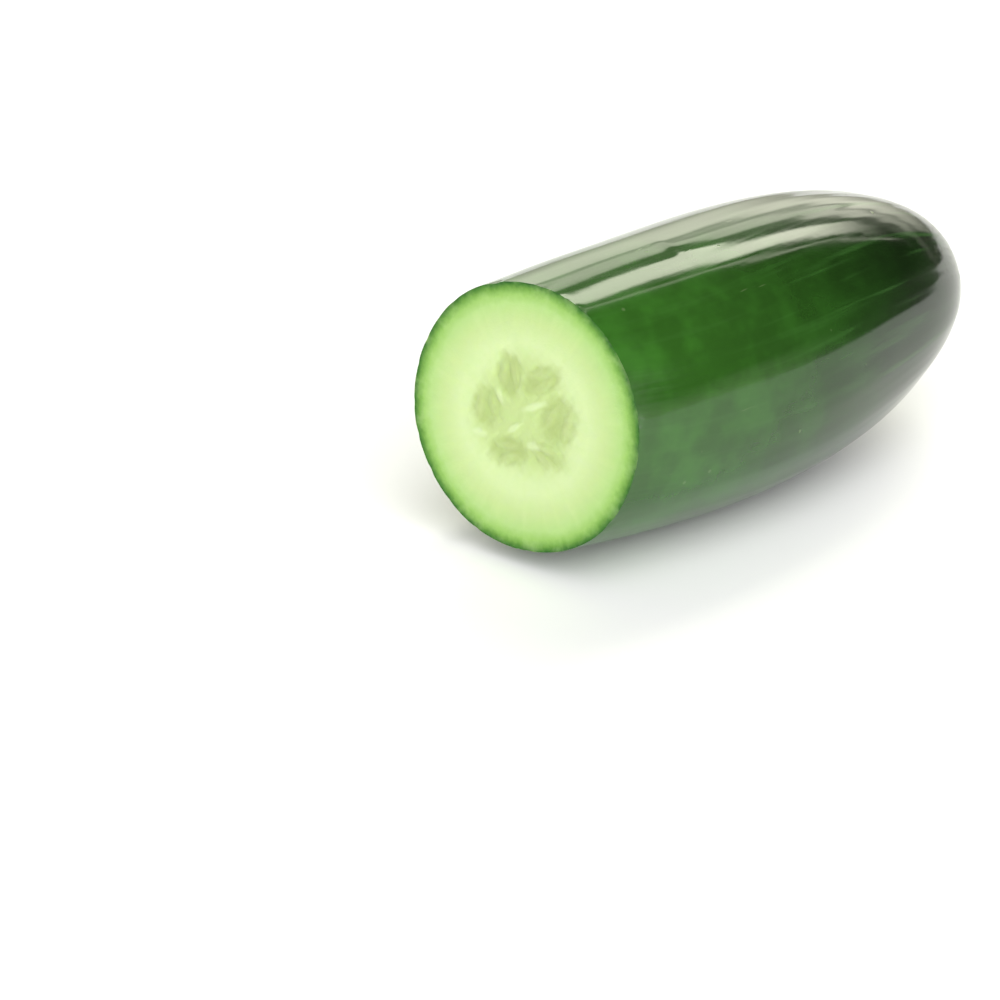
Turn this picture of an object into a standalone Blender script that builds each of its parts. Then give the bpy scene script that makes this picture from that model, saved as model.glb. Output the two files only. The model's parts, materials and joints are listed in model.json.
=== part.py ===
"""Cucumber half: the blossom end of a slicing cucumber, cut across with a knife.

It lies on its side along +X, with the knife cut at the -X end and the rounded
blossom end at +X. It is one grown piece, so it is one solid. The origin is under
the middle of its bounding box, on the surface it rests on. Lengths are in metres.
"""
from math import atan2, cos, hypot, pi, radians, sin, sqrt

import bmesh
import bpy
from mathutils import Vector

# Driving dimensions
CUT_RADIUS = 0.0230
BELLY_RADIUS = 0.0254
BODY_LENGTH = 0.1090         # centre of the cut to the blossom end
BELLY_AT = 0.40 * BODY_LENGTH
BLOSSOM_ROUNDNESS = 2.1      # exponent of the oval end, 2 is a plain ellipse
SPARE_LENGTH = 0.008         # body past the cut centre, taken off by the knife

# Knife cut: how far its face turns to -Y and tips up, in degrees
CUT_TURN = 7.6
CUT_TIP = 5.9

# The body is a little bent: its middle bows to -Y and hangs down
BOW = 0.0018
BOW_SKEW = 0.0006
SAG = 0.0007

# Shallow ribs run the whole length and nearly vanish on the underside
RIB_COUNT = 10
RIB_HEIGHT = 0.00022
RIB_GAIN = 0.9               # extra height at the blossom end, as a share
RIB_FADE_RADIUS = 0.017      # ribs flatten out nearer the end than this
RIB_PHASE = radians(-90)

# Dry scar where the flower fell off
SCAR_RADIUS = 0.0032
SCAR_DEPTH = 0.0005

# Small flat where the flesh settles on the surface, which keeps it from rolling
REST_DEPTH = 0.00035

# Mesh fineness
STEPS_AROUND = 80
STEPS_TO_BELLY = 14
STEPS_TO_END = 20
MERGE_DISTANCE = 0.000001
CREASE_ANGLE = radians(40)
CUT_OUTWARD = Vector((-cos(radians(CUT_TURN)) * cos(radians(CUT_TIP)),
                      -sin(radians(CUT_TURN)) * cos(radians(CUT_TIP)),
                      sin(radians(CUT_TIP))))
DOWN = Vector((0, 0, -1))


def clear_scene():
    for old in list(bpy.data.objects):
        bpy.data.objects.remove(old, do_unlink=True)


def plain_material(name, colour, roughness):
    """Non-metallic Principled material; the colour is linear RGB."""
    material = bpy.data.materials.new(name)
    material.use_nodes = True
    shader = material.node_tree.nodes["Principled BSDF"]
    shader.inputs["Base Color"].default_value = (*colour, 1.0)
    shader.inputs["Roughness"].default_value = roughness
    shader.inputs["Metallic"].default_value = 0.0
    return material


def body_radius(x):
    """Radius without ribs: a gentle swell up to the belly, then an oval end."""
    if x < BELLY_AT:
        swell = sin(0.5 * pi * x / BELLY_AT)
        return CUT_RADIUS + (BELLY_RADIUS - CUT_RADIUS) * swell
    along = (x - BELLY_AT) / (BODY_LENGTH - BELLY_AT)
    return BELLY_RADIUS * sqrt(max(0.0, 1.0 - along ** BLOSSOM_ROUNDNESS))


def body_stations():
    """Places along the axis, closer together towards the rounded end."""
    run = BELLY_AT + SPARE_LENGTH
    front = [run * i / STEPS_TO_BELLY - SPARE_LENGTH for i in range(STEPS_TO_BELLY)]
    rear = BODY_LENGTH - BELLY_AT
    back = [BELLY_AT + rear * sin(0.5 * pi * i / STEPS_TO_END) for i in range(STEPS_TO_END + 1)]
    return front + back


def turn_body(mesh):
    """Spin the profile about the X axis into a tube that is open at the cut end."""
    profile = [mesh.verts.new((x, 0.0, body_radius(x))) for x in body_stations()]
    edges = [mesh.edges.new(pair) for pair in zip(profile, profile[1:])]
    bmesh.ops.spin(mesh, geom=profile + edges, cent=(0, 0, 0), axis=(1, 0, 0),
                   angle=2 * pi, steps=STEPS_AROUND)
    bmesh.ops.remove_doubles(mesh, verts=mesh.verts, dist=MERGE_DISTANCE)


def rib_height(x, angle, radius):
    """Height of the skin over the smooth body at one place."""
    gain = 1.0 + RIB_GAIN * max(0.0, x) / BODY_LENGTH
    end_fade = min(1.0, radius / RIB_FADE_RADIUS) ** 2
    upper = 0.5 + 0.5 * sin(angle)
    return RIB_HEIGHT * gain * end_fade * sqrt(upper) * cos(RIB_COUNT * (angle - RIB_PHASE))


def centre_line(x):
    """Sideways and downward offset of the bent axis."""
    along = pi * x / BODY_LENGTH
    return Vector((0.0, -BOW * sin(along) - BOW_SKEW * sin(2 * along), -SAG * sin(along)))


def scar_dip(radius):
    """Shallow dimple round the pole of the blossom end."""
    if radius >= SCAR_RADIUS:
        return 0.0
    return SCAR_DEPTH * (1.0 - (radius / SCAR_RADIUS) ** 2) ** 2


def grow_ribs_and_bend(mesh):
    for vert in mesh.verts:
        x, y, z = vert.co
        radius = hypot(y, z)
        angle = atan2(z, y)
        grown = radius + (rib_height(x, angle, radius) if radius > MERGE_DISTANCE else 0.0)
        if x > BELLY_AT:
            x -= scar_dip(radius)
        place = Vector((x, grown * cos(angle), grown * sin(angle)))
        vert.co = place + centre_line(x)


def slice_flat(mesh, point, outward):
    """Cut everything past a plane away and close the body with one flat face."""
    geometry = mesh.verts[:] + mesh.edges[:] + mesh.faces[:]
    result = bmesh.ops.bisect_plane(mesh, geom=geometry, dist=MERGE_DISTANCE, plane_co=point,
                                    plane_no=outward, clear_outer=True)
    rim = [item for item in result["geom_cut"] if isinstance(item, bmesh.types.BMEdge)]
    bmesh.ops.contextual_create(mesh, geom=rim)


def stand_on_origin(mesh):
    """Move the middle of the bounding box over the origin, with its bottom at z = 0."""
    low = Vector(min(vert.co[i] for vert in mesh.verts) for i in range(3))
    high = Vector(max(vert.co[i] for vert in mesh.verts) for i in range(3))
    shift = Vector((-(low.x + high.x) / 2, -(low.y + high.y) / 2, -low.z))
    bmesh.ops.translate(mesh, verts=mesh.verts, vec=shift)


def build_cucumber():
    shape = bmesh.new()
    turn_body(shape)
    grow_ribs_and_bend(shape)
    slice_flat(shape, Vector((0, 0, 0)), CUT_OUTWARD)
    lowest = min(vert.co.z for vert in shape.verts)
    slice_flat(shape, Vector((0, 0, lowest + REST_DEPTH)), DOWN)
    stand_on_origin(shape)
    bmesh.ops.recalc_face_normals(shape, faces=shape.faces)
    for face in shape.faces:
        face.smooth = True
        face.material_index = 1 if face.normal.dot(CUT_OUTWARD) > 0.999 else 0
    data = bpy.data.meshes.new("cucumber")
    shape.to_mesh(data)
    shape.free()
    data.set_sharp_from_angle(angle=CREASE_ANGLE)
    data.materials.append(plain_material("cucumber skin", (0.030, 0.105, 0.015), 0.30))
    data.materials.append(plain_material("cut cucumber flesh", (0.680, 0.890, 0.400), 0.35))
    cucumber = bpy.data.objects.new("cucumber", data)
    bpy.context.scene.collection.objects.link(cucumber)
    return cucumber


clear_scene()
build_cucumber()
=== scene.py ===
import json
from math import cos, pi, radians, sin

import bpy
import numpy as np
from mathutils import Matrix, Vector


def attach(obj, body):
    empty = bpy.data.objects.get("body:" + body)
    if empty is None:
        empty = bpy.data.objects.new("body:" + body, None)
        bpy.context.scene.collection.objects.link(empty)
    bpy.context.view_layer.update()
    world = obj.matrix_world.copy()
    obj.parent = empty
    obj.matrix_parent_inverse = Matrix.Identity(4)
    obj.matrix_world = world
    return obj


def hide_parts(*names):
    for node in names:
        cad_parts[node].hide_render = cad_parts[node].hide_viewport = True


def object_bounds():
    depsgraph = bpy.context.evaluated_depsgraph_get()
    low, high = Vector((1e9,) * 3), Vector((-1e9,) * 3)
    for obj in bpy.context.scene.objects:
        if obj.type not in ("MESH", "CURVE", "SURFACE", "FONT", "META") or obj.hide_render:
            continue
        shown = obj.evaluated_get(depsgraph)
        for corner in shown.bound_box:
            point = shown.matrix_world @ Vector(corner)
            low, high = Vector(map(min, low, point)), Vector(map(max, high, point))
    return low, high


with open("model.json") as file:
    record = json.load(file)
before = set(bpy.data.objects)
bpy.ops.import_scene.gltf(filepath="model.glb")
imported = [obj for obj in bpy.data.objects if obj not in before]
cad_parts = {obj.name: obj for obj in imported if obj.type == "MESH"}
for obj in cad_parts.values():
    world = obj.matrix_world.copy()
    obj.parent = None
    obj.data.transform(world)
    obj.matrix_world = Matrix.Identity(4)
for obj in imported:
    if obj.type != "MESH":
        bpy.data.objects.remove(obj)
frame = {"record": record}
cad_low, cad_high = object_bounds()
mounts = {mount["name"]: mount for mount in frame["record"]["mounts"]}
MM = 0.001

# Camera
# A short telephoto lens looks down on the cucumber from the left of its cut face. Its axis
# passes below the middle of the cut, so that the cucumber lies in the upper right.
SENSOR_WIDTH = 36.0
LENS_LENGTH = 100.0
CAMERA_AZIMUTH = radians(-44.0)
CAMERA_HEIGHT_ANGLE = radians(24.65)
CAMERA_DISTANCE = 458.7 * MM
AIM_OFFSET = Vector((-6.73, -1.09, -12.46)) * MM
cut_centre = Vector(mounts["cut_face"]["pos_m"])
aim_point = cut_centre + AIM_OFFSET
towards_camera = Vector((sin(CAMERA_AZIMUTH) * cos(CAMERA_HEIGHT_ANGLE),
                         -cos(CAMERA_AZIMUTH) * cos(CAMERA_HEIGHT_ANGLE),
                         sin(CAMERA_HEIGHT_ANGLE)))
bpy.ops.object.camera_add(location=aim_point + towards_camera * CAMERA_DISTANCE)
camera = bpy.context.object
camera.name = "camera"
camera.rotation_euler = (-towards_camera).to_track_quat("-Z", "Y").to_euler()
camera.data.lens = LENS_LENGTH
camera.data.sensor_width = SENSOR_WIDTH
camera.data.clip_start = 0.01
camera.data.clip_end = 20.0
bpy.context.scene.camera = camera


# Studio light
# A studio whose lights show as mirror images in the skin: a bright wall behind, a dim gap
# over it, a long softbox and a thin edge light overhead. The white room at the front left
# lights the cut, and the dark room at the front right keeps the flank deep green.
def linear(code):
    """Linear RGBA of an sRGB hex colour."""
    parts = [int(code[i:i + 2], 16) / 255 for i in (0, 2, 4)]
    return (*[p / 12.92 if p <= 0.04045 else ((p + 0.055) / 1.055) ** 2.4 for p in parts], 1.0)


def add_node(tree, kind, settings=None, links=None):
    """Add one node. Settings name properties or input sockets; links map inputs to outputs."""
    node = tree.nodes.new(kind)
    for name, value in (settings or {}).items():
        if isinstance(name, str) and hasattr(node, name):
            setattr(node, name, value)
        else:
            node.inputs[name].default_value = value
    for name, output in (links or {}).items():
        tree.links.new(output, node.inputs[name])
    return node


def smooth_step(tree, value, start, end, low=0.0, high=1.0):
    """Smooth change from low to high while the value goes from start to end."""
    settings = {"interpolation_type": "SMOOTHSTEP", "From Min": start, "From Max": end,
                "To Min": low, "To Max": high}
    return add_node(tree, "ShaderNodeMapRange", settings, {"Value": value}).outputs["Result"]


def maths(tree, operation, first, second):
    """Result of one Math node on two outputs or numbers."""
    node = add_node(tree, "ShaderNodeMath", {"operation": operation})
    for socket, value in zip(node.inputs, (first, second)):
        if isinstance(value, (int, float)):
            socket.default_value = value
        else:
            tree.links.new(value, socket)
    return node.outputs[0]


def blend_colours(tree, share, first, second):
    """Mix of two colours, each an output or a hex code."""
    node = add_node(tree, "ShaderNodeMix", {"data_type": "RGBA"})
    for socket, value in ((node.inputs[0], share), (node.inputs[6], first), (node.inputs[7], second)):
        if isinstance(value, str):
            socket.default_value = linear(value)
        elif isinstance(value, float):
            socket.default_value = value
        else:
            tree.links.new(value, socket)
    return node.outputs[2]


# The pitch of a direction is its angle round the X axis: 0 at the back, 90 overhead.
# A light is a band of pitch: its start, end and soft edge in degrees, and its brightness.
# The last number of the dip is the share that it takes off the wall.
WALL = (-5.0, 53.0, 1.5, 1.0)
WALL_DIP = (33.0, 40.0, 1.5, 0.5)
GAP = (50.0, 66.0, 2.0, 0.35)
LONG_BOX = (64.0, 78.5, 1.0, 6.4)
EDGE_LINE = (84.0, 86.5, 0.6, 2.4)
WALL_LOW, WALL_HIGH, WALL_TOP_PITCH = 0.75, 2.7, radians(30)
# A fade goes by the X share of a direction: where it starts and ends, and what is left.
WALL_FADE = (0.86, 0.96, 0.45)
WALL_END = (0.955, 0.975, 0.0)
LONG_BOX_END = (0.78, 0.95, 0.0)
EDGE_LINE_END = (0.94, 0.985, 0.0)
HAZE_FADE = (0.56, 0.85, 0.15)
# The haze goes by the Z share and is brightest low over the floor. The room goes by the Y
# share, is brightest in front and takes over to the left of the lights.
HAZE_TOP, HAZE_FOOT = 0.22, -0.04
DIM_SIDE, HAZE = 0.07, 0.85
ROOM_EDGE, LIGHTS_EDGE = 0.31, 0.41
ROOM_REAR, ROOM_FORE = 0.1, -0.4
ROOM_BACK, ROOM_FRONT = 0.3, 2.8

bpy.context.scene.view_settings.view_transform = "Standard"
world = bpy.data.worlds.new("studio")
bpy.context.scene.world = world
world.use_nodes = True
sky = world.node_tree
sky.nodes.clear()
direction = add_node(sky, "ShaderNodeTexCoord").outputs["Generated"]
split = add_node(sky, "ShaderNodeSeparateXYZ", None, {"Vector": direction})
dir_x, dir_y, dir_z = split.outputs
pitch = maths(sky, "ARCTAN2", dir_z, dir_y)


def band(start, end, soft, brightness):
    """Light of one brightness in a band of pitch, with soft sides."""
    rise = smooth_step(sky, pitch, radians(start - soft), radians(start + soft))
    fall = smooth_step(sky, pitch, radians(end - soft), radians(end + soft), 1.0, 0.0)
    return maths(sky, "MULTIPLY", maths(sky, "MULTIPLY", rise, fall), brightness)


def fade(light, start, end, left):
    """The light, dimmed along X until only the last share of it is left."""
    return maths(sky, "MULTIPLY", light, smooth_step(sky, dir_x, start, end, 1.0, left))


wall = smooth_step(sky, pitch, 0.0, WALL_TOP_PITCH, WALL_LOW, WALL_HIGH)
wall = maths(sky, "MULTIPLY", wall, band(*WALL))
wall = maths(sky, "MULTIPLY", wall, maths(sky, "SUBTRACT", 1.0, band(*WALL_DIP)))
wall = fade(fade(wall, *WALL_FADE), *WALL_END)
haze = fade(smooth_step(sky, dir_z, HAZE_TOP, HAZE_FOOT, DIM_SIDE, HAZE), *HAZE_FADE)
long_box = fade(band(*LONG_BOX), *LONG_BOX_END)
edge_line = fade(band(*EDGE_LINE), *EDGE_LINE_END)
lights = maths(sky, "MAXIMUM", wall, haze)
lights = maths(sky, "ADD", lights, maths(sky, "ADD", long_box, edge_line))
lights = maths(sky, "MAXIMUM", lights, band(*GAP))
to_right = smooth_step(sky, dir_x, ROOM_EDGE, LIGHTS_EDGE)
lights = maths(sky, "MULTIPLY", lights, to_right)
room = smooth_step(sky, dir_y, ROOM_REAR, ROOM_FORE, ROOM_BACK, ROOM_FRONT)
room = maths(sky, "MULTIPLY", room, maths(sky, "SUBTRACT", 1.0, to_right))
# The lights are a touch warm, and the camera itself sees plain white behind the cucumber.
to_camera = add_node(sky, "ShaderNodeLightPath").outputs["Is Camera Ray"]
strength = maths(sky, "MAXIMUM", maths(sky, "ADD", lights, room), to_camera)
warmth = maths(sky, "MULTIPLY", to_right, maths(sky, "SUBTRACT", 1.0, to_camera))
tint = blend_colours(sky, warmth, "FFFFFF", "FFFFEA")
glow = add_node(sky, "ShaderNodeBackground", None, {"Color": tint, "Strength": strength})
add_node(sky, "ShaderNodeOutputWorld", None, {"Surface": glow.outputs[0]})

# Floor
# A plain white laminate table top under the cucumber, matt enough to show only soft
# shadows. It reaches so far out that none of its edge shows.
FLOOR_RADIUS = 6.0
FLOOR_CORNERS = 96
bpy.ops.object.select_all(action="DESELECT")
bpy.ops.mesh.primitive_circle_add(vertices=FLOOR_CORNERS, radius=FLOOR_RADIUS, fill_type="NGON")
floor = bpy.context.object
floor.name = "floor"
paint = bpy.data.materials.new("white matt laminate")
paint.use_nodes = True
shader = paint.node_tree.nodes["Principled BSDF"]
shader.inputs["Base Color"].default_value = linear("FAFAFA")
shader.inputs["Roughness"].default_value = 0.6
floor.data.materials.append(paint)

# Cucumber body
# One grown fruit: a waxy dark green skin over pale flesh with a softer seed core, sliced
# across with a knife. It starts as a plain round body, extruded ring by ring from its cut,
# and then gets its ridges, its seed cells, its bend and the slant of the cut.
AROUND = 72
SUBDIVISIONS = 2
RINGS_TO_BELLY = 20
RINGS_TO_END = 32
CUT_RINGS = 15
EDGE = 0.09 * MM
RIM_EDGE = 0.35 * MM
END_ROUNDNESS = 2.1
BELLY_OVER_HEIGHT = 0.06 * MM    # how much wider the round belly is than the part is high
CUT_SHARE = 0.9055
BELLY_SHARE = 0.4
cut_normal = Vector(mounts["cut_face"]["axis"])
length = cad_high.x - cut_centre.x
belly_radius = (cad_high.z + BELLY_OVER_HEIGHT) / 2
cut_radius = CUT_SHARE * belly_radius
belly_at = BELLY_SHARE * length
# Limits that tell the cut face and its rim from the vertices next to them
face_limit = 0.1 * EDGE
rim_limit = cut_radius - 0.1 * RIM_EDGE


def plain_radius(x):
    """Radius of the round body: a slight swell to the belly, then an oval end."""
    if x < belly_at:
        return cut_radius + (belly_radius - cut_radius) * sin(0.5 * pi * x / belly_at)
    along = min(1.0, (x - belly_at) / (length - belly_at))
    return belly_radius * (1.0 - along ** END_ROUNDNESS) ** 0.5


def select_where(mesh, keep):
    """In edit mode, select the vertices that keep(position) accepts, and nothing else."""
    bpy.ops.mesh.select_all(action="DESELECT")
    bpy.ops.object.mode_set(mode="OBJECT")
    for vertex in mesh.vertices:
        vertex.select = keep(vertex.co)
    bpy.ops.object.mode_set(mode="EDIT")


def extrude_ring(move, grow, centre):
    """Extrude the selected ring along X, then scale it about a point on the X axis."""
    bpy.ops.mesh.extrude_region_move(TRANSFORM_OT_translate={"value": (move, 0, 0)})
    bpy.ops.transform.resize(value=(1, grow, grow), center_override=(centre, 0, 0))


bpy.ops.object.select_all(action="DESELECT")
bpy.ops.mesh.primitive_circle_add(vertices=AROUND, radius=cut_radius, rotation=(0, pi / 2, 0))
cucumber = bpy.context.object
cucumber.name = "cucumber_half"
bpy.ops.object.transform_apply(location=False, rotation=True, scale=True)
bpy.ops.object.mode_set(mode="EDIT")
bpy.ops.mesh.select_mode(type="VERT")
bpy.ops.mesh.select_all(action="SELECT")
stations = [EDGE] + [belly_at * i / RINGS_TO_BELLY for i in range(1, RINGS_TO_BELLY)]
stations += [belly_at + (length - belly_at) * sin(0.5 * pi * i / RINGS_TO_END)
             for i in range(RINGS_TO_END)]
here = 0.0
for station in stations:
    extrude_ring(station - here, plain_radius(station) / plain_radius(here), station)
    here = station
bpy.ops.mesh.extrude_region_move(TRANSFORM_OT_translate={"value": (length - here, 0, 0)})
bpy.ops.mesh.merge(type="CENTER")
select_where(cucumber.data, lambda place: place.x < face_limit)
radius = cut_radius
step = cut_radius / (CUT_RINGS + 1)
for wanted in [cut_radius - RIM_EDGE] + [cut_radius - step * i for i in range(1, CUT_RINGS + 1)]:
    extrude_ring(0.0, wanted / radius, 0.0)
    radius = wanted
bpy.ops.mesh.extrude_region_move(TRANSFORM_OT_translate={"value": (0, 0, 0)})
bpy.ops.mesh.merge(type="CENTER")
bpy.ops.mesh.select_all(action="SELECT")
bpy.ops.mesh.normals_make_consistent(inside=False)
select_where(cucumber.data, lambda place: place.x < face_limit and place.yz.length > rim_limit)
bpy.ops.transform.edge_crease(value=1.0)
bpy.ops.mesh.mark_sharp()
bpy.ops.object.mode_set(mode="OBJECT")
smoother = cucumber.modifiers.new("smooth", "SUBSURF")
smoother.levels = SUBDIVISIONS
smoother.render_levels = SUBDIVISIONS
bpy.ops.object.modifier_apply(modifier=smoother.name)
bpy.ops.object.shade_smooth()

# Shape of the grown skin: flat sides between rounded ridges, fine lengthwise furrows that
# are deepest on top towards the blossom end, low knobs and slow swells, small nicks round
# the cut, and the dimple of the flower's scar.
# Angles are in degrees round the body, from its +Y side over the top. Places are in mm.
RIDGES = (12, 38, 56, 76, 106, 128, 146, 164, 182, 200, 220, 243, 268, 293, 318, 345)
FLATNESS = 0.42
RIDGE_ROUNDING = 1.6
FURROWS_AROUND = (23, 31, 37, 44, 53, 61)
FURROW_DEPTH = 0.006 * MM
TOP_SIDE, TOP_WIDTH, TOP_FURROWS = radians(92), radians(26), 1.8
DRIFT_WAVE, DRIFT_TURN = radians(2.5), radians(5)
SWELL_HEIGHT = 0.11 * MM
SMOOTH_SIDE, SMOOTH_WIDTH = radians(110), radians(26)     # here the skin has no flat sides
SLIM_RADIUS = 12 * MM            # the relief dies away where the body is slimmer than this
KNOBS = (             # place along, angle round, reach before, reach after, reach round, height
    (29, 98, 1.6, 7, 3.2, 0.14),
    (70, 96, 8, 8, 3, 0.10),
    (47, 150, 9, 9, 5, 0.10),
    (33, 178, 7, 7, 4, 0.08),
    (90, 180, 18, 14, 8, 0.70),
    (58, 205, 10, 10, 5, 0.12),
    (15, 60, 8, 8, 5, 0.12),
    (50, 30, 10, 10, 5, 0.12),
    (72, 330, 8, 8, 5, 0.12),
    (30, 300, 9, 9, 5, 0.12),
    (60, 250, 9, 9, 5, 0.12),
)
NICKS = 22
NICK_WIDTHS, NICK_DEPTHS, NICK_LENGTH = (1.2, 2.6), (0.04, 0.16), 0.7 * MM
SCAR_RADIUS, SCAR_DEPTH = 2.6 * MM, 0.45 * MM
SCAR_EDGE = (1.7, 3.2)           # the dry skin ends softly between these distances
rng = np.random.default_rng(11)


def smooth(value, start, end):
    """0 at start, 1 at end, with a smooth change between."""
    share = np.clip((value - start) / (end - start), 0.0, 1.0)
    return share * share * (3.0 - 2.0 * share)


def flat_sides(turn):
    """How far the skin lies inside its round outline, as a share of the radius."""
    degrees = np.arange(-360.0, 720.0, 0.25)
    ridges = np.array([angle + 360 * lap for lap in (-2, -1, 0, 1, 2) for angle in RIDGES])
    after = np.searchsorted(ridges, degrees, side="right")
    width = ridges[after] - ridges[after - 1]
    across = 2 * (degrees - ridges[after - 1]) / width - 1
    sag = 0.5 * np.radians(width / 2) ** 2 * (1 - across ** 2)
    blur = np.exp(-0.5 * (np.arange(-6, 6.1, 0.25) / RIDGE_ROUNDING) ** 2)
    sag = np.convolve(sag, blur / blur.sum(), mode="same")
    return np.interp(np.degrees(turn) % 360, degrees, sag)


def swells(along, turn, laps, waves, count):
    """Slow random swells over the skin, about 1 high, the same on every run."""
    total = 0.0
    for _ in range(count):
        lap, wave = int(rng.integers(*laps)), rng.uniform(*waves)
        first, second = rng.uniform(0, 2 * pi, 2)
        total = total + np.sin(lap * turn + first) * np.sin(2 * pi * wave * along + second)
    return total / count ** 0.5


count = len(cucumber.data.vertices)
places = np.empty(count * 3)
cucumber.data.vertices.foreach_get("co", places)
x, y, z = places.reshape(-1, 3).T.copy()
turn, out = np.arctan2(z, y), np.hypot(y, z)
along = x / length
turn_from_0 = turn % (2 * pi)
on_face = x < 0.01 * EDGE
on_cut = on_face & (out < rim_limit)
full = np.array([plain_radius(max(0.0, value)) for value in x])
inward = np.where(x < EDGE, out / cut_radius, 1.0)
grown = turn - (DRIFT_WAVE * np.sin(2 * pi * (0.9 * along + 0.1)) + DRIFT_TURN * along)
flatness = FLATNESS * (1 - np.exp(-((turn_from_0 - SMOOTH_SIDE) / SMOOTH_WIDTH) ** 4))
shape = -flatness * flat_sides(grown) * full * smooth(along, -0.3, 0.8)
furrows = 0.0
for number in FURROWS_AROUND:
    wander = 0.5 * np.sin(2 * pi * (rng.uniform(0.4, 1.2) * along + rng.uniform()))
    height = 0.4 + 0.6 * np.sin(2 * pi * (rng.uniform(0.5, 1.5) * along + rng.uniform())) ** 2
    furrows = furrows + height * np.sin(number * grown + rng.uniform(0, 2 * pi) + wander)
on_top = np.exp(-((turn_from_0 - TOP_SIDE) / TOP_WIDTH) ** 2)
deeper = 1 + TOP_FURROWS * on_top * smooth(along, 0.35, 0.75)
shape = shape + furrows * FURROW_DEPTH * deeper * full / belly_radius
for place, angle, before, after, wide, height in KNOBS:
    round_off = (turn - radians(angle) + pi) % (2 * pi) - pi
    from_place = (x / MM - place) / np.where(x / MM < place, before, after)
    shape = shape + height * MM * np.exp(-from_place ** 2 - (round_off * full / (wide * MM)) ** 2)
shape = shape + SWELL_HEIGHT * swells(along, grown, (2, 8), (0.8, 3.0), 9)
shape = shape * np.minimum(1.0, full / SLIM_RADIUS)
for angle in rng.uniform(0, 2 * pi, NICKS):
    from_nick = ((turn - angle + pi) % (2 * pi) - pi) / radians(rng.uniform(*NICK_WIDTHS))
    depth = rng.uniform(*NICK_DEPTHS) * MM
    shape = shape - depth * np.exp(-from_nick ** 2 - (x / NICK_LENGTH) ** 2)
out = out + shape * inward
dimple = (1 - np.clip(out / SCAR_RADIUS, 0, 1) ** 2) ** 2
x = x - np.where(x > belly_at, SCAR_DEPTH * dimple, 0.0)

# Cut: six gel cells round the core, each a little sunken with two seeds in it, pale bits
# of partition between them, and a knife drag over the whole face. Places are in mm to the
# right of the axis and above it, seen from outside.
CELLS = (          # right, up, turn from upright, half length, half width, depth
    (-3.8, 6.9, 8, 3.9, 2.6, 0.9),
    (2.7, 7.3, -58, 4.6, 2.3, 0.8),
    (7.0, 1.2, -18, 4.6, 3.9, 0.8),
    (5.2, -5.2, 78, 4.5, 2.4, 0.65),
    (-2.7, -6.5, -72, 4.2, 2.6, 0.9),
    (-7.8, 0.2, 10, 3.7, 3.4, 0.75),
)
PALE_BITS = ((1.8, 2.5, -62, 2.3, 0.55), (2.3, -4.3, -80, 1.2, 0.7), (-8.8, -4.6, 90, 1.4, 0.6),
             (-5.3, 2.6, 30, 1.3, 0.5), (-1.6, -2.0, -50, 1.6, 0.5))
CELL_DEPTH, CELL_SOFTNESS, CELL_WOBBLE = 0.28 * MM, 0.5, 0.08
SEED_HEIGHT, SEED_SOFTNESS, SEED_WIDTH = 0.16 * MM, 0.45, 0.7
SEED_APART, SEED_LEAN = 0.42, 9
PALE_HEIGHT, PALE_SOFTNESS, PALE_WOBBLE = 0.10 * MM, 0.6, 0.15
CORE_DEPTH, CORE_START, CORE_END = 0.05 * MM, 7.5, 12.2
RIPPLE_HEIGHT, DRAG_HEIGHT = 0.03 * MM, 0.012 * MM
right, up = -y / MM, z / MM
ripples = (np.sin(1.9 * right + 0.7 * up + 1) * np.sin(1.6 * up - 0.9 * right)
           + 0.6 * np.sin(3.7 * right + 2.2) * np.sin(3.3 * up + 0.5))


def oval(place_right, place_up, lean, half_length, half_width, softness, wobble=0.0):
    """1 inside a leaning oval, 0 outside it, with a soft wavy edge."""
    lean = radians(lean)
    lengthwise = (right - place_right) * -sin(lean) + (up - place_up) * cos(lean)
    across = (right - place_right) * cos(lean) + (up - place_up) * sin(lean)
    reach = np.hypot(lengthwise / half_length, across / half_width) + wobble * ripples
    return 1 - smooth(reach, 1 - softness, 1 + softness)


gel = np.zeros(count)
seed = np.zeros(count)
for place_right, place_up, lean, half_length, half_width, depth in CELLS:
    cell = oval(place_right, place_up, lean, half_length, half_width, CELL_SOFTNESS, CELL_WOBBLE)
    gel = np.maximum(gel, depth * cell)
    for side in (-1, 1):
        aside = side * SEED_APART * half_width
        seed_right = place_right + aside * cos(radians(lean))
        seed_up = place_up + aside * sin(radians(lean))
        seed_turn = lean + side * SEED_LEAN
        one_seed = oval(seed_right, seed_up, seed_turn, half_length / 2, SEED_WIDTH, SEED_SOFTNESS)
        seed = np.maximum(seed, one_seed)
pale = np.zeros(count)
for bit in PALE_BITS:
    pale = np.maximum(pale, oval(*bit, PALE_SOFTNESS, PALE_WOBBLE))
spread = np.hypot(right + 0.4, up - 0.4)
spread = spread + 0.7 * np.sin(3 * np.arctan2(up, right) + 0.6) + 0.35 * ripples
core = 1 - smooth(spread, CORE_START, CORE_END)
rim = np.maximum(0.0, cut_radius + shape - out) / MM
dish = SEED_HEIGHT * seed + PALE_HEIGHT * pale - CELL_DEPTH * gel - CORE_DEPTH * core
dish = dish + RIPPLE_HEIGHT * ripples * core
drag = DRAG_HEIGHT * np.sin(2 * pi * (0.30 * up + 0.09 * right) + 0.6 * np.sin(0.5 * right))
x = np.where(on_cut, x - (dish + drag) * smooth(rim, 0.2, 1.0), x)

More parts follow.
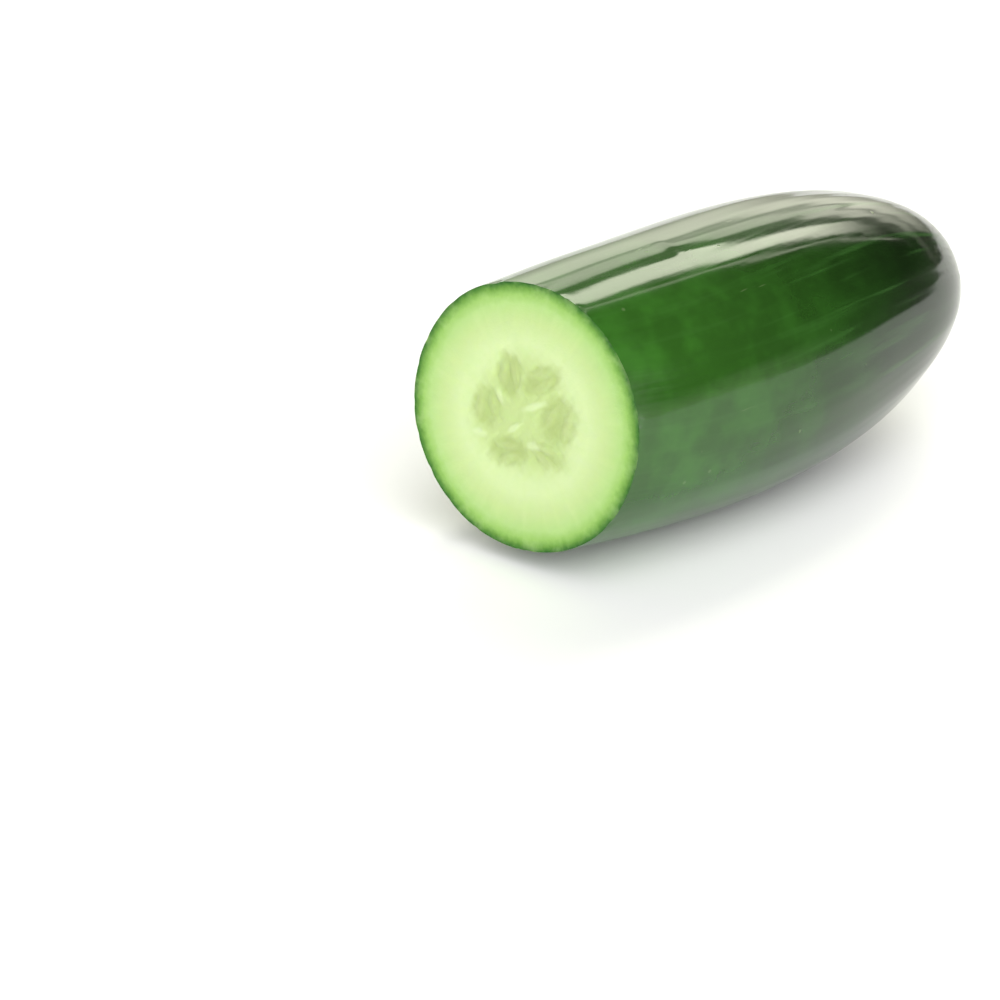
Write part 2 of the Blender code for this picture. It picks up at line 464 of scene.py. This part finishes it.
# Bend, slant and place: the cut leans as the frame says, and the axis bows and sags.
BOW, BOW_SKEW, SAG = 1.8 * MM, 0.6 * MM, 0.7 * MM
AXIS_Y, AXIS_Z = 2.056 * MM, 25.716 * MM
CUT_FORWARD = 0.06 * MM
SLANT_SHARE = 0.5
y, z = out * np.cos(turn), out * np.sin(turn)
slant = (cut_normal.y * y + cut_normal.z * z) / -cut_normal.x
from_cut = x.copy()
x = x + slant * np.maximum(0, 1 - x / (SLANT_SHARE * length)) ** 2
bow = pi * x / length
y = y - BOW * np.sin(bow) - BOW_SKEW * np.sin(2 * bow)
z = z - SAG * np.sin(bow)
x = x + cut_centre.x - CUT_FORWARD
places = np.stack([x, y + AXIS_Y, np.maximum(0, z + AXIS_Z)], 1)
cucumber.data.vertices.foreach_set("co", places.ravel())
cucumber.data.update()


def store(name, values):
    """Keep one number or one vector per vertex for the materials."""
    kind, key = ("FLOAT", "value") if values.ndim == 1 else ("FLOAT_VECTOR", "vector")
    layer = cucumber.data.attributes.new(name, kind, "POINT")
    layer.data.foreach_set(key, values.astype(np.float32).ravel())


store("rim", rim)
store("gel", gel)
store("seed", seed)
store("pale", pale)
store("core", core)
store("scar", np.where(from_cut > 0.9 * length, 1 - smooth(out / MM, *SCAR_EDGE), 0.0))
store("grown", np.stack([np.cos(grown), np.sin(grown), along], 1))

# Skin
# Cucumber rind with its natural wax: deep green, smooth and shiny, with soft blotches,
# lengthwise streaks, fine scratches and corky specks. It darkens towards the blossom end,
# where it is freckled round a dry brown scar.
BLOTCH_SIZE, LUMP_SIZE, PORE_SIZE = 9 * MM, 3.6 * MM, 1.6 * MM
SPECK_SPACING, SCRATCH_SIZE, FRECKLE_SIZE, SCAR_GRAIN = 7 * MM, 1.3 * MM, 1.1 * MM, 0.7 * MM
STREAK_SCALE, STREAK_STRETCH = 14.0, (1, 1, 0.22)
THREAD_SCALE, THREAD_STRETCH = 30.0, (1, 1, 0.25)
SCRATCH_STRETCH = (0.14, 1, 1)
POLISHED, WAXY, DRY_ROUGHNESS = 0.08, 0.13, 0.5
SKIN_RELIEF = 0.003 * MM
PORE_WEIGHT, LUMP_WEIGHT, CORK_WEIGHT = 0.5, 4.0, 12.0
skin = bpy.data.materials.new("waxy cucumber rind")
skin.use_nodes = True
tree = skin.node_tree
shader = tree.nodes["Principled BSDF"]
grown_place = add_node(tree, "ShaderNodeAttribute", {"attribute_name": "grown"}).outputs["Vector"]
body_place = add_node(tree, "ShaderNodeTexCoord").outputs["Object"]
lengthwise = add_node(tree, "ShaderNodeSeparateXYZ", None, {"Vector": grown_place}).outputs["Z"]


def noise(tree, place, scale, detail=2.0, roughness=0.5, stretch=(1, 1, 1)):
    """Noise value on coordinates stretched along each axis."""
    spread = add_node(tree, "ShaderNodeMapping", {"Scale": stretch}, {"Vector": place})
    settings = {"Scale": scale, "Detail": detail, "Roughness": roughness}
    return add_node(tree, "ShaderNodeTexNoise", settings, {"Vector": spread.outputs[0]}).outputs["Fac"]


blotches = smooth_step(tree, noise(tree, body_place, 1 / BLOTCH_SIZE, 3.0, 0.55), 0.35, 0.68)
near = blend_colours(tree, blotches, "254D14", "2F601C")
distant = blend_colours(tree, blotches, "101F0B", "14280E")
colour = blend_colours(tree, smooth_step(tree, lengthwise, 0.03, 0.75), near, distant)
streaks = noise(tree, grown_place, STREAK_SCALE, 2.5, 0.55, STREAK_STRETCH)
more_streaks = smooth_step(tree, lengthwise, 0.2, 0.9, 0.05, 0.35)
pale_streaks = maths(tree, "MULTIPLY", smooth_step(tree, streaks, 0.52, 0.72), more_streaks)
colour = blend_colours(tree, pale_streaks, colour, "4A7A3C")
dark_streaks = maths(tree, "MULTIPLY", smooth_step(tree, streaks, 0.47, 0.32), more_streaks)
colour = blend_colours(tree, dark_streaks, colour, "0F220A")
speck = add_node(tree, "ShaderNodeTexVoronoi", {"Scale": 1 / SPECK_SPACING}, {"Vector": body_place})
speck = smooth_step(tree, speck.outputs["Distance"], 0.065, 0.03)
scratch = noise(tree, body_place, 1 / SCRATCH_SIZE, 2.0, 0.5, SCRATCH_STRETCH)
scratch = smooth_step(tree, scratch, 0.735, 0.79, 0.0, 0.7)
to_end = smooth_step(tree, lengthwise, 0.15, 0.85, 0.25, 1.0)
cork = maths(tree, "MULTIPLY", maths(tree, "MAXIMUM", speck, scratch), to_end)
colour = blend_colours(tree, maths(tree, "MULTIPLY", cork, 0.6), colour, "8A9A6C")
freckles = smooth_step(tree, noise(tree, body_place, 1 / FRECKLE_SIZE, 3.0, 0.6), 0.54, 0.70)
near_scar = smooth_step(tree, lengthwise, 0.76, 0.97, 0.0, 0.7)
freckles = maths(tree, "MULTIPLY", freckles, near_scar)
colour = blend_colours(tree, freckles, colour, "7C8460")
scar = add_node(tree, "ShaderNodeAttribute", {"attribute_name": "scar"}).outputs["Fac"]
dry = blend_colours(tree, noise(tree, body_place, 1 / SCAR_GRAIN, 3.0, 0.65), "4A3D24", "8F7E56")
colour = blend_colours(tree, scar, colour, dry)
tree.links.new(colour, shader.inputs["Base Color"])
shader.inputs["IOR"].default_value = 1.58
threads = noise(tree, grown_place, THREAD_SCALE, 1.5, 0.5, THREAD_STRETCH)
gloss = smooth_step(tree, threads, 0.3, 0.7, POLISHED, WAXY)
dull = maths(tree, "MULTIPLY", maths(tree, "MAXIMUM", cork, freckles), 0.7)
dull = maths(tree, "MAXIMUM", scar, dull)
gloss = maths(tree, "ADD", gloss, maths(tree, "MULTIPLY", dull, DRY_ROUGHNESS))
tree.links.new(gloss, shader.inputs["Roughness"])
pores = noise(tree, body_place, 1 / PORE_SIZE, 1.0, 0.5)
lumps = noise(tree, body_place, 1 / LUMP_SIZE, 2.0, 0.5)
raised = maths(tree, "MAXIMUM", dull, cork)
relief = threads
for height, weight in ((pores, PORE_WEIGHT), (lumps, LUMP_WEIGHT), (raised, CORK_WEIGHT)):
    relief = maths(tree, "ADD", relief, maths(tree, "MULTIPLY", height, weight))
bump = add_node(tree, "ShaderNodeBump", {"Strength": 1.0, "Distance": SKIN_RELIEF}, {"Height": relief})
tree.links.new(bump.outputs[0], shader.inputs["Normal"])

# Cut flesh
# Wet raw cucumber flesh: translucent pale green, darkest just under the skin and duller in
# the gel cells, with pale seeds, pale partitions and faint fibres that run out to the skin.
# The knife leaves it moist.
CLOUD_SIZE, WAVE_SIZE, GRAIN_SIZE = 3.2 * MM, 1.3 * MM, 0.6 * MM
FIBRE_SCALE = 9.0
FLESH_RELIEF = 0.05 * MM
FLESH_DEPTH = 10.0               # mm from the skin to the last colour of the bands
BANDS = ((0.0, "1F5514"), (0.045, "447A26"), (0.12, "709F42"), (0.22, "95BF63"),
         (0.36, "ACCD80"), (0.65, "BCD290"), (1.0, "CADCA4"))
flesh = bpy.data.materials.new("moist cucumber flesh")
flesh.use_nodes = True
tree = flesh.node_tree
shader = tree.nodes["Principled BSDF"]
body_place = add_node(tree, "ShaderNodeTexCoord").outputs["Object"]
depth, gel_share, seed_share, pale_share, core_share = [
    add_node(tree, "ShaderNodeAttribute", {"attribute_name": name}).outputs["Fac"]
    for name in ("rim", "gel", "seed", "pale", "core")]
grown_place = add_node(tree, "ShaderNodeAttribute", {"attribute_name": "grown"}).outputs["Vector"]
cloudy = noise(tree, body_place, 1 / CLOUD_SIZE, 3.0, 0.55)
wavy = noise(tree, body_place, 1 / WAVE_SIZE, 3.0, 0.6)
ragged = maths(tree, "SUBTRACT", wavy, 0.5)
reach = maths(tree, "DIVIDE", maths(tree, "ADD", depth, ragged), FLESH_DEPTH)
ramp = add_node(tree, "ShaderNodeValToRGB", None, {"Fac": reach})
while len(ramp.color_ramp.elements) < len(BANDS):
    ramp.color_ramp.elements.new(0.5)
for stop, (place, code) in zip(ramp.color_ramp.elements, BANDS):
    stop.position = place
    stop.color = linear(code)
colour = ramp.outputs["Color"]
colour = blend_colours(tree, maths(tree, "MULTIPLY", core_share, 0.85), colour, "B8CC88")
gel_mask = maths(tree, "ADD", gel_share, maths(tree, "MULTIPLY", ragged, 0.35))
gel_mask = smooth_step(tree, gel_mask, 0.15, 0.95, 0.0, 0.55)
colour = blend_colours(tree, gel_mask, colour, "98AA60")
colour = blend_colours(tree, maths(tree, "MULTIPLY", seed_share, 0.22), colour, "C6D29C")
colour = blend_colours(tree, maths(tree, "MULTIPLY", pale_share, 0.65), colour, "D2E2B2")
fibres = smooth_step(tree, noise(tree, grown_place, FIBRE_SCALE, 2.0, 0.5), 0.4, 0.75, 0.0, 0.3)
fibres = maths(tree, "MULTIPLY", fibres, smooth_step(tree, reach, 0.2, 0.6))
fibres = maths(tree, "MULTIPLY", fibres, maths(tree, "SUBTRACT", 1.0, core_share))
colour = blend_colours(tree, fibres, colour, "C6DA98")
clouds = smooth_step(tree, cloudy, 0.45, 0.75, 0.0, 0.25)
colour = blend_colours(tree, clouds, colour, "BAD890")
tree.links.new(colour, shader.inputs["Base Color"])
shader.inputs["IOR"].default_value = 1.36
shader.inputs["Roughness"].default_value = 0.32
shader.inputs["Subsurface Weight"].default_value = 0.6
shader.inputs["Subsurface Radius"].default_value = (0.9, 1.0, 0.4)
shader.inputs["Subsurface Scale"].default_value = 0.8 * MM
grain = noise(tree, body_place, 1 / GRAIN_SIZE, 2.0, 0.6)
relief = maths(tree, "ADD", grain, maths(tree, "MULTIPLY", wavy, 0.8))
bump = add_node(tree, "ShaderNodeBump", {"Strength": 1.0, "Distance": FLESH_RELIEF}, {"Height": relief})
tree.links.new(bump.outputs[0], shader.inputs["Normal"])

# Both materials go on the body: flesh on the faces of the cut, skin on all the others.
cucumber.data.materials.append(skin)
cucumber.data.materials.append(flesh)
faces_on_cut = [all(on_face[index] for index in polygon.vertices) for polygon in cucumber.data.polygons]
cucumber.data.polygons.foreach_set("material_index", np.array(faces_on_cut, dtype=np.int32))
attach(cucumber, "root")
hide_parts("cucumber")
